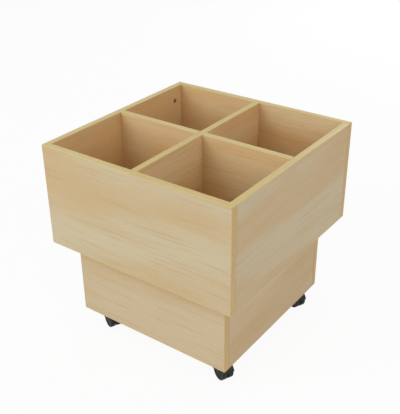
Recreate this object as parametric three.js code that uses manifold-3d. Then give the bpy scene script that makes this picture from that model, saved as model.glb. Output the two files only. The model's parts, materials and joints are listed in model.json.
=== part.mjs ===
// A browser bin: an open box of four compartments on a narrower plinth, which rolls on four
// twin-wheel casters.
// Millimetres, +Z up. The origin is on the floor under the middle of the bin. The front faces -Y.

import * as THREE from "three";
import { mergeVertices } from "three/addons/utils/BufferGeometryUtils.js";
import Module from "manifold-3d";

const wasm = await Module();
wasm.setup();

// Bin and plinth
const BIN_WIDTH = 600; // across the outer faces of the left and right walls
const BIN_DEPTH = 600; // across the outer faces of the front and back walls
const BIN_HEIGHT = 300; // of the walls, rim to lower edge
const PLINTH_STEP = 50; // how far the plinth is set in from the walls, on every side
const PLINTH_HEIGHT = 235; // of its panels, up to the underside of the bin
const WALL_BOARD = 19; // thickness of the bin's walls
const FLOOR_BOARD = 19; // thickness of the compartments' floor
const DIVIDER_BOARD = 19; // thickness of the two dividers
const PLINTH_BOARD = 19; // thickness of the plinth's panels
const BASE_BOARD = 19; // thickness of the board that carries the casters
const BUTT_GAP = 0.2; // where one board's end meets another board's face
const LAP_GAP = 0.3; // on each side of a divider in the other divider's slot
const BAND = 2; // thickness of the edge bands
const GLUE_LINE = 0.1; // between a band and its board

// Dowels, glued into the first board of a joint and plugged into the second
const DOWEL_RADIUS = 4;
const DOWEL_DEPTH = 12; // reach into the second board
const DOWEL_GAP = 0.3; // round a dowel and at the end of its hole
const DOWEL_SETBACK = 60; // from a board's corner to its first dowel
const DOWEL_SIDES = 6;

// Cam locks in the ends of the side walls, and the bolts that they pull on
const CAM_RADIUS = 7.5;
const CAM_SETBACK = 34; // from the side wall's end to the cam's middle
const CAM_EDGE = 45; // from the wall's rim or lower edge to the cam's middle
const CAM_SKIN = 4.5; // wood left behind the cam
const CAM_GAP = 0.2; // round the cam and behind it
const CAM_MOUTH = 8; // width of the opening that takes the bolt's head
const CAM_CROSS_LENGTH = 9; // of the screwdriver recess
const CAM_CROSS_WIDTH = 1.6;
const CAM_CROSS_DEPTH = 2;
const CAM_SIDES = 16;
const BOLT_THREAD_LENGTH = 11;
const BOLT_THREAD_RADIUS = 2.5;
const BOLT_SHANK_RADIUS = 3.2;
const BOLT_NECK_RADIUS = 1.8;
const BOLT_NECK_LENGTH = 6;
const BOLT_HEAD_RADIUS = 3.1;
const BOLT_HEAD_LENGTH = 3;
const BOLT_TAPER = 0.6; // along the bolt, where one radius runs into the next
const BOLT_GAP = 0.4; // round the bolt in its bores
const BOLT_SIDES = 8;

// Casters
const CASTER_INSET = 50; // from the plinth's faces to a caster's swivel axis
const SWIVEL_REST = THREE.MathUtils.degToRad(-24); // the way the wheels trail, from +X
const SWIVEL_TRAIL = 20; // from the swivel axis to the wheels' axle
const WHEEL_RADIUS = 25;
const WHEEL_WIDTH = 15;
const WHEEL_SHOULDER = 2.5; // the tread's bevel, across the wheel
const WHEEL_SHOULDER_DROP = 1.2; // the tread's bevel, towards the axle
const WHEEL_RIM = 5; // width of the raised ring on the outer face
const WHEEL_HUB_RADIUS = 8;
const WHEEL_DISH = 1.5; // how deep the face lies between the rim and the hub
const WHEEL_CAP = 3; // closed end of the bore
const WHEEL_SIDES = 24;
const WHEEL_SIDE_GAP = 0.5; // between a wheel and the housing's web
const WHEEL_HOOD_GAP = 1.6; // between the treads and the hood
const AXLE_RADIUS = 3;
const AXLE_GAP = 0.3; // round the axle
const AXLE_SIDES = 12;
const WEB = 4; // thickness of the housing between the wheels
const WEB_CLEARANCE = 4; // between the web and the floor
const HOOD_WALL = 2.6;
const HOOD_TILT = THREE.MathUtils.degToRad(15); // the hood reaches lower on the swivel's side
const HOOD_SIDES = 12;
const SWIVEL_BOSS_RADIUS = 8;
const SWIVEL_BOSS_LENGTH = 18;
const SWIVEL_GAP = 0.5; // between the swivel boss and the plate
const PLATE_SIDE = 42;
const PLATE = 2.5; // thickness
const PLATE_SPACE = 3.1; // between the hood's top and the plate, for the screws' heads
const PLATE_SEAT_GAP = 0.2; // between the plate and the base board
const SCREW_PITCH = 32; // between the plate's screws
const SCREW_RADIUS = 1.9;
const SCREW_BITE = 13; // length in the base board
const SCREW_HEAD_RADIUS = 3.6;
const SCREW_HEAD_HEIGHT = 2.1;
const SCREW_HEAD_TAPER = 1.2; // how much narrower the head's face is, in radius
const SCREW_GAP = 0.2; // round a screw in the base board
const SCREW_SIDES = 8;
const KINGPIN_RADIUS = 3.5;
const KINGPIN_HEAD_RADIUS = 5.5;
const KINGPIN_HEAD = 1.8; // height of the cone that sits in the plate
const KINGPIN_LENGTH = 15;
const KINGPIN_RING_RADIUS = 4.2; // the snap ring that holds the housing on
const KINGPIN_RING = 1; // height of the ring, and of each of its two slopes
const KINGPIN_RING_DEPTH = 10; // from the plate's top to the ring's middle
const KINGPIN_GAP = 0.3; // round the pin, in the plate and in the housing
const KINGPIN_SIDES = 12;

const PAST = 1; // how far a cutting shape runs past the face that it opens

// Levels and distances that follow from the sizes above
const casterHeight = 2 * WHEEL_RADIUS + WHEEL_HOOD_GAP + HOOD_WALL + PLATE_SPACE + PLATE + PLATE_SEAT_GAP;
const binBottom = casterHeight + PLINTH_HEIGHT;
const binTop = binBottom + BIN_HEIGHT;
const floorTop = binBottom + FLOOR_BOARD;
const halfWidth = BIN_WIDTH / 2;
const halfDepth = BIN_DEPTH / 2;
const innerWidth = halfWidth - WALL_BOARD; // middle of the bin to a side wall's inner face
const innerDepth = halfDepth - WALL_BOARD;
const plinthHalfWidth = halfWidth - PLINTH_STEP;
const plinthHalfDepth = halfDepth - PLINTH_STEP;
const plinthInnerWidth = plinthHalfWidth - PLINTH_BOARD;
const plinthInnerDepth = plinthHalfDepth - PLINTH_BOARD;
const plinthTop = binBottom - BUTT_GAP;

// Finishes
const maple = new THREE.MeshStandardMaterial({ color: 0xd2b98f, roughness: 0.55, metalness: 0 });
const mapleBand = new THREE.MeshStandardMaterial({ color: 0xdcc795, roughness: 0.5, metalness: 0 });
const zinc = new THREE.MeshStandardMaterial({ color: 0x8c8a86, roughness: 0.45, metalness: 1 });
const steel = new THREE.MeshStandardMaterial({ color: 0xb4b6b8, roughness: 0.4, metalness: 1 });
const blackPlastic = new THREE.MeshStandardMaterial({ color: 0x262628, roughness: 0.5, metalness: 0 });

const bin = new THREE.Group();

function addPiece(name, geometry, material, parent = bin) {
  const mesh = new THREE.Mesh(geometry, material);
  mesh.name = name;
  parent.add(mesh);
  return mesh;
}

// Shapes

function toSolid(geometry) {
  const bare = geometry.clone();
  bare.deleteAttribute("normal");
  bare.deleteAttribute("uv");
  const merged = mergeVertices(bare);
  const corners = merged.index.array;
  const faces = [];
  for (let i = 0; i < corners.length; i += 3) {
    const [a, b, c] = corners.slice(i, i + 3);
    // A revolved outline has faces with no area where it meets its axis
    if (a !== b && b !== c && c !== a) faces.push(a, b, c);
  }
  const vertProperties = new Float32Array(merged.attributes.position.array);
  return new wasm.Manifold(new wasm.Mesh({ numProp: 3, vertProperties, triVerts: new Uint32Array(faces) }));
}

function shaped(base, joined, cut) {
  let solid = toSolid(base);
  for (const piece of joined) solid = solid.add(toSolid(piece));
  for (const piece of cut) solid = solid.subtract(toSolid(piece));
  const mesh = solid.getMesh();
  const geometry = new THREE.BufferGeometry();
  geometry.setAttribute("position", new THREE.BufferAttribute(mesh.vertProperties, 3));
  geometry.setIndex(new THREE.BufferAttribute(mesh.triVerts, 1));
  geometry.computeVertexNormals();
  return geometry;
}

// A block between two values on each of X, Y and Z
function block([x0, x1], [y0, y1], [z0, z1]) {
  const geometry = new THREE.BoxGeometry(x1 - x0, y1 - y0, z1 - z0);
  return geometry.translate((x0 + x1) / 2, (y0 + y1) / 2, (z0 + z1) / 2);
}

// A round bar with its axis along X (0), Y (1) or Z (2), between two values on that axis
function bar(axis, [from, to], centre, radius, sides) {
  const geometry = new THREE.CylinderGeometry(radius, radius, Math.abs(to - from), sides);
  if (axis === 0) geometry.rotateZ(Math.PI / 2);
  if (axis === 2) geometry.rotateX(Math.PI / 2);
  const place = new THREE.Vector3(...centre).setComponent(axis, (from + to) / 2);
  return geometry.translate(place.x, place.y, place.z);
}

// An outline of [radius, height] points, from the bottom up, turned about Z
function turned(outline, sides) {
  const points = outline.map(([radius, height]) => new THREE.Vector2(radius, height));
  return new THREE.LatheGeometry(points, sides).rotateX(Math.PI / 2);
}

const around = (middle, reach) => [middle - reach, middle + reach];
const between = (a, b) => [Math.min(a, b), Math.max(a, b)];
const inset = ([low, high], by) => [low + by, high - by];

// What each board gets besides its block: dowels glued into it, and holes and slots cut from it
const dowelsOf = {};
const cutsOf = {};
const note = (list, board, shape) => (list[board] ??= []).push(shape);

// A dowel across the joint where first's end meets second's face, at a point on that face.
// way is +1 or -1: the direction along the axis from first to second.
function dowel(first, second, axis, way, point) {
  const face = point[axis];
  const peg = [face - way * DOWEL_DEPTH, face + way * DOWEL_DEPTH];
  const hole = [face - way * PAST, face + way * (DOWEL_DEPTH + DOWEL_GAP)];
  note(dowelsOf, first, bar(axis, peg, point, DOWEL_RADIUS, DOWEL_SIDES));
  note(cutsOf, second, bar(axis, hole, point, DOWEL_RADIUS + DOWEL_GAP, DOWEL_SIDES));
}

function addBoard(name, spans) {
  addPiece(name, shaped(block(...spans), dowelsOf[name] ?? [], cutsOf[name] ?? []), maple);
}

// A board with a band round its four edges; thin is the axis of its thickness
function addBandedBoard(name, spans, thin) {
  const shrink = (by) => spans.map((span, axis) => (axis === thin ? span : inset(span, by)));
  const opening = shrink(BAND);
  opening[thin] = inset(opening[thin], -PAST);
  const cuts = cutsOf[name] ?? [];
  addBoard(name, shrink(BAND + GLUE_LINE));
  addPiece(`${name}_edge_band`, shaped(block(...spans), [], [block(...opening), ...cuts]), mapleBand);
}

const frontAndBack = [["front", -1], ["back", 1]];
const leftAndRight = [["left", -1], ["right", 1]];

// Cam locks and bolts: two at each end of both side walls

const boltLength = BUTT_GAP + CAM_SETBACK; // from the front or back wall's face to the cam's middle

// Along Y: the thread is below zero, the head above
function camBolt() {
  const headStart = boltLength - BOLT_HEAD_LENGTH / 2;
  const neckStart = headStart - BOLT_NECK_LENGTH;
  const outline = [
    [0, -BOLT_THREAD_LENGTH],
    [BOLT_THREAD_RADIUS - BOLT_TAPER, -BOLT_THREAD_LENGTH],
    [BOLT_THREAD_RADIUS, BOLT_TAPER - BOLT_THREAD_LENGTH],
    [BOLT_THREAD_RADIUS, BUTT_GAP],
    [BOLT_SHANK_RADIUS, BUTT_GAP + BOLT_TAPER],
    [BOLT_SHANK_RADIUS, neckStart - BOLT_TAPER],
    [BOLT_NECK_RADIUS, neckStart],
    [BOLT_NECK_RADIUS, headStart],
    [BOLT_HEAD_RADIUS, headStart + BOLT_TAPER],
    [BOLT_HEAD_RADIUS, headStart + BOLT_HEAD_LENGTH],
    [0, headStart + BOLT_HEAD_LENGTH],
  ];
  return new THREE.LatheGeometry(outline.map(([r, y]) => new THREE.Vector2(r, y)), BOLT_SIDES);
}

function camLock(side, end, boltX, camY, camZ) {
  const face = side * (innerWidth + CAM_GAP);
  const back = side * (halfWidth - CAM_SKIN - CAM_GAP);
  const recess = between(face - side * PAST, face + side * CAM_CROSS_DEPTH);
  const mouthY = between(camY - end * BOLT_HEAD_LENGTH, camY + end * (CAM_RADIUS + PAST));
  const long = CAM_CROSS_LENGTH / 2;
  const short = CAM_CROSS_WIDTH / 2;
  const body = bar(0, [face, back], [0, camY, camZ], CAM_RADIUS, CAM_SIDES);
  const mouth = block(around(boltX, CAM_MOUTH / 2), mouthY, around(camZ, CAM_MOUTH / 2));
  const cross = [
    block(recess, around(camY, long), around(camZ, short)),
    block(recess, around(camY, short), around(camZ, long)),
  ];
  return shaped(body, [], [mouth, ...cross]);
}

for (const [sideName, side] of leftAndRight) {
  for (const [endName, end] of frontAndBack) {
    for (const [level, camZ] of [["lower", binBottom + CAM_EDGE], ["upper", binTop - CAM_EDGE]]) {
      const boltX = side * (halfWidth - WALL_BOARD / 2);
      const wallEnd = end * (innerDepth - BUTT_GAP);
      const camY = wallEnd - end * CAM_SETBACK;
      const sideWall = `bin_${sideName}_wall`;
      const pocket = [side * (innerWidth - PAST), side * (halfWidth - CAM_SKIN)];
      const bore = [wallEnd + end * PAST, camY];
      const threadHole = [end * (innerDepth - PAST), end * (innerDepth + BOLT_THREAD_LENGTH + BOLT_GAP)];
      const onBolt = [boltX, 0, camZ];
      const camRoom = CAM_RADIUS + CAM_GAP;
      const threadRoom = BOLT_THREAD_RADIUS + BOLT_GAP;
      note(cutsOf, sideWall, bar(0, pocket, [0, camY, camZ], camRoom, CAM_SIDES));
      note(cutsOf, sideWall, bar(1, bore, onBolt, BOLT_SHANK_RADIUS + BOLT_GAP, BOLT_SIDES));
      note(cutsOf, `bin_${endName}_wall`, bar(1, threadHole, onBolt, threadRoom, BOLT_SIDES));

      const place = `${endName}_${sideName}_${level}`;
      addPiece(`cam_lock_${place}`, camLock(side, end, boltX, camY, camZ), zinc);
      const bolt = addPiece(`cam_bolt_${place}`, camBolt(), steel);
      bolt.position.set(boltX, end * innerDepth, camZ);
      bolt.rotation.z = end > 0 ? Math.PI : 0;
    }
  }
}

// Dowels

const dividerBottom = floorTop + BUTT_GAP;
const dividerTop = binTop - BAND - GLUE_LINE;
const dividerReachX = innerWidth - BUTT_GAP;
const dividerReachY = innerDepth - BUTT_GAP;
const floorMiddle = binBottom + FLOOR_BOARD / 2;
const baseMiddle = casterHeight + BASE_BOARD / 2;

for (const [name, way] of frontAndBack) {
  for (const z of [dividerBottom + DOWEL_SETBACK, dividerTop - DOWEL_SETBACK]) {
    dowel("divider_front_to_back", `bin_${name}_wall`, 1, way, [0, way * innerDepth, z]);
  }
  for (const across of [-1, 1]) {
    const floorX = across * (innerWidth - DOWEL_SETBACK);
    const plinthX = across * (plinthInnerWidth - DOWEL_SETBACK);
    const panelMiddle = way * (plinthHalfDepth - PLINTH_BOARD / 2);
    dowel("bin_floor", `bin_${name}_wall`, 1, way, [floorX, way * innerDepth, floorMiddle]);
    dowel("plinth_base", `plinth_${name}_panel`, 1, way, [plinthX, way * plinthInnerDepth, baseMiddle]);
    dowel(`plinth_${name}_panel`, "bin_floor", 2, 1, [plinthX, panelMiddle, binBottom]);
  }
}
for (const [name, way] of leftAndRight) {
  for (const z of [dividerBottom + DOWEL_SETBACK, dividerTop - DOWEL_SETBACK]) {
    dowel("divider_left_to_right", `bin_${name}_wall`, 0, way, [way * innerWidth, 0, z]);
  }
  for (const along of [-1, 1]) {
    const floorY = along * (innerDepth - DOWEL_SETBACK);
    const plinthY = along * (plinthInnerDepth - DOWEL_SETBACK);
    dowel("bin_floor", `bin_${name}_wall`, 0, way, [way * innerWidth, floorY, floorMiddle]);
    dowel("plinth_base", `plinth_${name}_panel`, 0, way, [way * plinthInnerWidth, plinthY, baseMiddle]);
  }
  const panelMiddle = way * (plinthHalfWidth - PLINTH_BOARD / 2);
  for (const [endName, end] of frontAndBack) {
    for (const z of [casterHeight + DOWEL_SETBACK, plinthTop - DOWEL_SETBACK]) {
      const point = [panelMiddle, end * plinthInnerDepth, z];
      dowel(`plinth_${name}_panel`, `plinth_${endName}_panel`, 1, end, point);
    }
  }
}

// Casters, each in a group whose origin is on the floor under its swivel axis

const plateTop = casterHeight - PLATE_SEAT_GAP;
const plateBottom = plateTop - PLATE;
const hoodRadius = WHEEL_RADIUS + WHEEL_HOOD_GAP + HOOD_WALL;
const wheelRoom = WHEEL_RADIUS + WHEEL_HOOD_GAP;
const webRadius = WHEEL_RADIUS - WEB_CLEARANCE; // below the hood
const wheelMiddle = WEB / 2 + WHEEL_SIDE_GAP + WHEEL_WIDTH / 2; // from the caster's middle plane
const casterHalfWidth = wheelMiddle + WHEEL_WIDTH / 2;
const screwPlaces = [];
for (const sx of [-1, 1]) {
  for (const sy of [-1, 1]) screwPlaces.push([(sx * SCREW_PITCH) / 2, (sy * SCREW_PITCH) / 2]);
}

// The kingpin's outline, or with room the outline of the hole that it turns in
function kingpinOutline(room) {
  const ringMiddle = plateTop - KINGPIN_RING_DEPTH;
  const slope = KINGPIN_RING / 2 + KINGPIN_RING;
  return [
    [0, plateTop - KINGPIN_LENGTH - room],
    [KINGPIN_RADIUS + room, plateTop - KINGPIN_LENGTH - room],
    [KINGPIN_RADIUS + room, ringMiddle - slope - room],
    [KINGPIN_RING_RADIUS + room, ringMiddle - KINGPIN_RING / 2 - room],
    [KINGPIN_RING_RADIUS + room, ringMiddle + KINGPIN_RING / 2 + room],
    [KINGPIN_RADIUS + room, ringMiddle + slope + room],
    [KINGPIN_RADIUS + room, plateTop - KINGPIN_HEAD],
    [KINGPIN_HEAD_RADIUS + room, plateTop],
    [0, plateTop],
  ];
}

// The plate hangs on its four screws, which stay in it
function casterPlate() {
  const half = PLATE_SIDE / 2;
  const sheet = block(around(0, half), around(0, half), [plateBottom, plateTop]);
  const screws = [];
  for (const [x, y] of screwPlaces) {
    const faceRadius = SCREW_HEAD_RADIUS - SCREW_HEAD_TAPER;
    const head = new THREE.CylinderGeometry(SCREW_HEAD_RADIUS, faceRadius, SCREW_HEAD_HEIGHT, SCREW_SIDES);
    head.rotateX(Math.PI / 2).translate(x, y, plateBottom - SCREW_HEAD_HEIGHT / 2);
    screws.push(head);
    screws.push(bar(2, [plateBottom, casterHeight + SCREW_BITE], [x, y, 0], SCREW_RADIUS, SCREW_SIDES));
  }
  const hole = turned(kingpinOutline(KINGPIN_GAP), KINGPIN_SIDES);
  // The cone of the hole is flush with the plate's top, so it is cut from just above too
  const mouthRise = [plateTop - KINGPIN_GAP, plateTop + PAST];
  const mouth = bar(2, mouthRise, [0, 0, 0], KINGPIN_HEAD_RADIUS, KINGPIN_SIDES);
  return shaped(sheet, screws, [hole, mouth]);
}

// A half disc over the wheels, hollowed for both of them, with a round web between them
function casterHousing() {
  const outline = new THREE.Shape();
  outline.absarc(SWIVEL_TRAIL, WHEEL_RADIUS, hoodRadius, HOOD_TILT, HOOD_TILT + Math.PI, false);
  const hood = new THREE.ExtrudeGeometry(outline, {
    depth: 2 * casterHalfWidth,
    bevelEnabled: false,
    curveSegments: HOOD_SIDES,
  });
  hood.rotateX(Math.PI / 2).translate(0, casterHalfWidth, 0);
  const axleCentre = [SWIVEL_TRAIL, 0, WHEEL_RADIUS];
  const bossTop = plateBottom - SWIVEL_GAP;
  const swivelBoss = [bossTop - SWIVEL_BOSS_LENGTH, bossTop];
  const webFaces = around(0, WEB / 2);
  const outside = casterHalfWidth + PAST;
  const joined = [
    bar(1, webFaces, axleCentre, webRadius, 2 * HOOD_SIDES),
    bar(2, swivelBoss, [0, 0, 0], SWIVEL_BOSS_RADIUS, KINGPIN_SIDES),
  ];
  const cut = [
    bar(1, [WEB / 2, outside], axleCentre, wheelRoom, 2 * HOOD_SIDES),
    bar(1, [-outside, -WEB / 2], axleCentre, wheelRoom, 2 * HOOD_SIDES),
    bar(1, inset(webFaces, -PAST), axleCentre, AXLE_RADIUS + AXLE_GAP, AXLE_SIDES),
    turned(kingpinOutline(KINGPIN_GAP), KINGPIN_SIDES),
  ];
  return shaped(hood, joined, cut);
}

// Turned about Y with its outer face towards +Y; a flat of the tread faces the floor
function casterWheel() {
  const face = WHEEL_WIDTH / 2;
  const corner = WHEEL_RADIUS / Math.cos(Math.PI / WHEEL_SIDES);
  const shoulder = corner - WHEEL_SHOULDER_DROP;
  const boreRadius = AXLE_RADIUS + AXLE_GAP;
  const boreEnd = face - WHEEL_CAP;
  const outline = [
    [0, boreEnd],
    [boreRadius, boreEnd],
    [boreRadius, -face],
    [shoulder, -face],
    [corner, WHEEL_SHOULDER - face],
    [corner, face - WHEEL_SHOULDER],
    [shoulder, face],
    [shoulder - WHEEL_RIM, face],
    [shoulder - WHEEL_RIM, face - WHEEL_DISH],
    [WHEEL_HUB_RADIUS, face - WHEEL_DISH],
    [WHEEL_HUB_RADIUS, face],
    [0, face],
  ];
  const wheel = new THREE.LatheGeometry(outline.map(([r, y]) => new THREE.Vector2(r, y)), WHEEL_SIDES);
  return wheel.rotateY(Math.PI / WHEEL_SIDES);
}

function addCaster(name, x, y) {
  const caster = new THREE.Group();
  caster.position.set(x, y, 0);
  bin.add(caster);
  addPiece(`${name}_plate`, casterPlate(), steel, caster);
  addPiece(`${name}_kingpin`, turned(kingpinOutline(0), KINGPIN_SIDES), steel, caster);

  const swivel = new THREE.Group();
  swivel.rotation.z = SWIVEL_REST;
  caster.add(swivel);
  addPiece(`${name}_housing`, casterHousing(), blackPlastic, swivel);

  const wheels = new THREE.Group();
  wheels.position.set(SWIVEL_TRAIL, 0, WHEEL_RADIUS);
  swivel.add(wheels);
  const axleReach = casterHalfWidth - WHEEL_CAP - AXLE_GAP;
  addPiece(`${name}_axle`, bar(1, around(0, axleReach), [0, 0, 0], AXLE_RADIUS, AXLE_SIDES), steel, wheels);
  for (const [number, side] of [[1, -1], [2, 1]]) {
    const wheel = addPiece(`${name}_wheel_${number}`, casterWheel(), blackPlastic, wheels);
    wheel.position.y = side * wheelMiddle;
    wheel.rotation.z = side > 0 ? 0 : Math.PI;
  }
}

for (const [endName, end] of frontAndBack) {
  for (const [sideName, side] of leftAndRight) {
    const x = side * (plinthHalfWidth - CASTER_INSET);
    const y = end * (plinthHalfDepth - CASTER_INSET);
    addCaster(`caster_${endName}_${sideName}`, x, y);
    for (const [sx, sy] of screwPlaces) {
      const pilot = [casterHeight - PAST, casterHeight + SCREW_BITE + SCREW_GAP];
      note(cutsOf, "plinth_base", bar(2, pilot, [x + sx, y + sy, 0], SCREW_RADIUS + SCREW_GAP, SCREW_SIDES));
    }
  }
}

// Dividers, halved into each other where they cross

const thickness = around(0, DIVIDER_BOARD / 2);
const lapRoom = inset(thickness, -LAP_GAP);
const lapMiddle = (dividerBottom + dividerTop) / 2;
const lowerSlot = [dividerBottom - PAST, lapMiddle + LAP_GAP];
const upperSlot = [lapMiddle - LAP_GAP, dividerTop + PAST];
const dividerHeight = [dividerBottom, dividerTop];
const dividerBandHeight = [binTop - BAND, binTop];
note(cutsOf, "divider_front_to_back", block(inset(thickness, -PAST), lapRoom, lowerSlot));
note(cutsOf, "divider_left_to_right", block(lapRoom, inset(thickness, -PAST), upperSlot));
addBoard("divider_front_to_back", [thickness, around(0, dividerReachY), dividerHeight]);
addBoard("divider_left_to_right", [around(0, dividerReachX), thickness, dividerHeight]);
const longBand = block(thickness, around(0, dividerReachY), dividerBandHeight);
addPiece("divider_front_to_back_edge_band", longBand, mapleBand);
for (const [name, way] of leftAndRight) {
  const reach = between(way * lapRoom[1], way * dividerReachX);
  const band = block(reach, thickness, dividerBandHeight);
  addPiece(`divider_left_to_right_edge_band_${name}`, band, mapleBand);
}

// Walls, floor and plinth

const binRise = [binBottom, binTop];
const plinthRise = [casterHeight, plinthTop];
for (const [name, way] of frontAndBack) {
  const wallY = between(way * innerDepth, way * halfDepth);
  const panelY = between(way * plinthInnerDepth, way * plinthHalfDepth);
  addBandedBoard(`bin_${name}_wall`, [around(0, halfWidth), wallY, binRise], 1);
  addBoard(`plinth_${name}_panel`, [around(0, plinthHalfWidth), panelY, plinthRise]);
}
for (const [name, way] of leftAndRight) {
  const wallX = between(way * innerWidth, way * halfWidth);
  const panelX = between(way * plinthInnerWidth, way * plinthHalfWidth);
  addBandedBoard(`bin_${name}_wall`, [wallX, around(0, innerDepth - BUTT_GAP), binRise], 0);
  addBoard(`plinth_${name}_panel`, [panelX, around(0, plinthInnerDepth - BUTT_GAP), plinthRise]);
}
const floorSpans = [around(0, innerWidth - BUTT_GAP), around(0, innerDepth - BUTT_GAP)];
const baseSpans = [around(0, plinthInnerWidth - BUTT_GAP), around(0, plinthInnerDepth - BUTT_GAP)];
addBoard("bin_floor", [...floorSpans, [binBottom, floorTop]]);
addBoard("plinth_base", [...baseSpans, [casterHeight, casterHeight + BASE_BOARD]]);

export default bin;
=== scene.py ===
# %% [markdown]
# # A browser bin on casters
# The object is an open box of banded maple boards with four compartments. It stands on a narrower
# plinth and rolls on four black twin-wheel casters. This lesson dresses the measured frame: it keeps
# the boards that are already right, and works out finer bands, cams, hoods and wheels with numpy.
# The frame comes first, because every piece takes its place from it.

# %% Load the measured frame
import json
from collections import namedtuple

import bpy
import numpy as np
from mathutils import Matrix, Vector


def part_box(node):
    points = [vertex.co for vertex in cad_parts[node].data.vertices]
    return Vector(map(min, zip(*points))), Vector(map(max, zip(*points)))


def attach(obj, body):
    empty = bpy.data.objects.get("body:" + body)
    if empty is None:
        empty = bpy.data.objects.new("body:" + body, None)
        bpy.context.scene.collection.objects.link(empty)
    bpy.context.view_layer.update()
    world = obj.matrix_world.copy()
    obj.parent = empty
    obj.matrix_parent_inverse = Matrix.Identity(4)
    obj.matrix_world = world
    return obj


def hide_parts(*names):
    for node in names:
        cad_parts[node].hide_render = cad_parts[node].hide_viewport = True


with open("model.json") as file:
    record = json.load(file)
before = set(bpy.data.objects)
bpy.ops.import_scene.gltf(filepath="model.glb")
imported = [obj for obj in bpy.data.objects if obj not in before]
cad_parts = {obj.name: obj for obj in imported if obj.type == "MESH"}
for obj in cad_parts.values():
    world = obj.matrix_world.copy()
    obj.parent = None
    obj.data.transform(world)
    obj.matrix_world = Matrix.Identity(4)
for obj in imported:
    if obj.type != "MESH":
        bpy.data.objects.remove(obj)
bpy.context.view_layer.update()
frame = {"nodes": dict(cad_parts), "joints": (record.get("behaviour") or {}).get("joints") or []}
MM = 0.001  # sizes below are written in millimetres and turned into metres with this

# %% [markdown]
# ## Camera
# The picture was taken from the right of the front, a little above the rim. The camera's place was
# fitted to the corners of the boards, so it is written as a point, two angles and a small roll. A
# matrix of three unit vectors (right, up, back) turns the camera without any constraint.

# %% Place the camera
PICTURE_HEIGHT = 414  # pixels, the longer side of the picture
FOCAL_PIXELS = 728
CAMERA_PLACE = (1.065, -1.470, 1.368)
azimuth, elevation, roll = np.radians([36.10, 28.88, -0.60])
back = np.array([
    np.sin(azimuth) * np.cos(elevation),
    -np.cos(azimuth) * np.cos(elevation),
    np.sin(elevation),
])
level_right = np.array([np.cos(azimuth), np.sin(azimuth), 0.0])
level_up = np.cross(back, level_right)
right = np.cos(roll) * level_right + np.sin(roll) * level_up
up = np.cross(back, right)

camera = bpy.data.objects.new("camera", bpy.data.cameras.new("camera"))
bpy.context.scene.collection.objects.link(camera)
camera.data.lens = FOCAL_PIXELS * camera.data.sensor_width / PICTURE_HEIGHT
turn = Matrix(np.stack([right, up, back], axis=1).tolist()).to_4x4()
camera.matrix_world = Matrix.Translation(CAMERA_PLACE) @ turn
bpy.context.scene.camera = camera
print("camera: lens", round(camera.data.lens, 1), "mm")

# %% [markdown]
# ## Light and floor
# The bin stands in even studio light: the front is brightest, the right side is about a fifth darker
# and the insides of the compartments are warm from wood lighting wood. A wide lamp from the front left
# makes that difference. A weaker, warm one lifts the right side, one behind lights the far faces, and
# an even world fills the rest. The floor is pale and shows white to the camera, but a share of it is
# still an ordinary matt floor, so the shadow under the casters stays.

# %% Light the studio from all around
scene = bpy.context.scene
scene.view_settings.view_transform = "Standard"


def node(tree, kind, inputs=None, **settings):
    """Adds one shader node. Each input is either linked, where a socket is given, or set to a value."""
    made = tree.nodes.new("ShaderNode" + kind)
    for name, value in settings.items():
        setattr(made, name, value)
    for key, value in (inputs or {}).items():
        if isinstance(value, bpy.types.NodeSocket):
            tree.links.new(value, made.inputs[key])
        else:
            made.inputs[key].default_value = value
    return made


def seen_directly(tree):
    """A mask: 1 for what the camera sees, straight, mirrored or through glass, and 0 for lighting."""
    path = node(tree, "LightPath")
    mask = path.outputs["Is Camera Ray"]
    for way in ("Is Glossy Ray", "Is Transmission Ray"):
        mask = node(tree, "Math", {0: mask, 1: path.outputs[way]}, operation="MAXIMUM").outputs[0]
    return mask


FILL = 0.46  # strength of the even light from all around
WHITE = (1, 1, 1, 1)
world = bpy.data.worlds.new("studio")
world.use_nodes = True
scene.world = world
sky = world.node_tree
sky.nodes.clear()
strength = node(sky, "MapRange", {"Value": seen_directly(sky), "To Min": FILL, "To Max": 1.0})
surround = node(sky, "Background", {"Color": WHITE, "Strength": strength.outputs[0]})
node(sky, "OutputWorld", {"Surface": surround.outputs[0]})
print("world: even light of strength", FILL)

# %% Hang the lamps
LAMP_TARGET = (0, 0, 0.3)  # half way up the object
WARM = (1.0, 0.87, 0.80)


def soft_lamp(name, place, side, power, colour=(1, 1, 1)):
    """A square lamp of the given side, in metres, that faces the bin with the given power, in watts."""
    lamp = bpy.data.objects.new(name, bpy.data.lights.new(name, "AREA"))
    scene.collection.objects.link(lamp)
    lamp.data.size = side
    lamp.data.energy = power
    lamp.data.color = colour
    lamp.location = place
    lamp.rotation_euler = (Vector(LAMP_TARGET) - Vector(place)).to_track_quat("-Z", "Y").to_euler()


soft_lamp("key_lamp", place=(-1.6, -3.8, 2.5), side=3.2, power=104)
soft_lamp("side_lamp", place=(3.6, -0.6, 2.4), side=2.4, power=38, colour=WARM)
soft_lamp("back_lamp", place=(-0.2, 4.4, 1.4), side=2.4, power=70)
print("lamps: front left, right and behind")

# %% Lay the floor
FLOOR_REACH = 30.0  # metres from the middle to each edge
FLOOR_WHITE = 0.93  # share of the floor that shows plain white to the camera
SPECKLES = 40.0  # per metre
PALEST, DULLEST = 0.88, 0.84  # shades of the speckled paper


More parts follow.
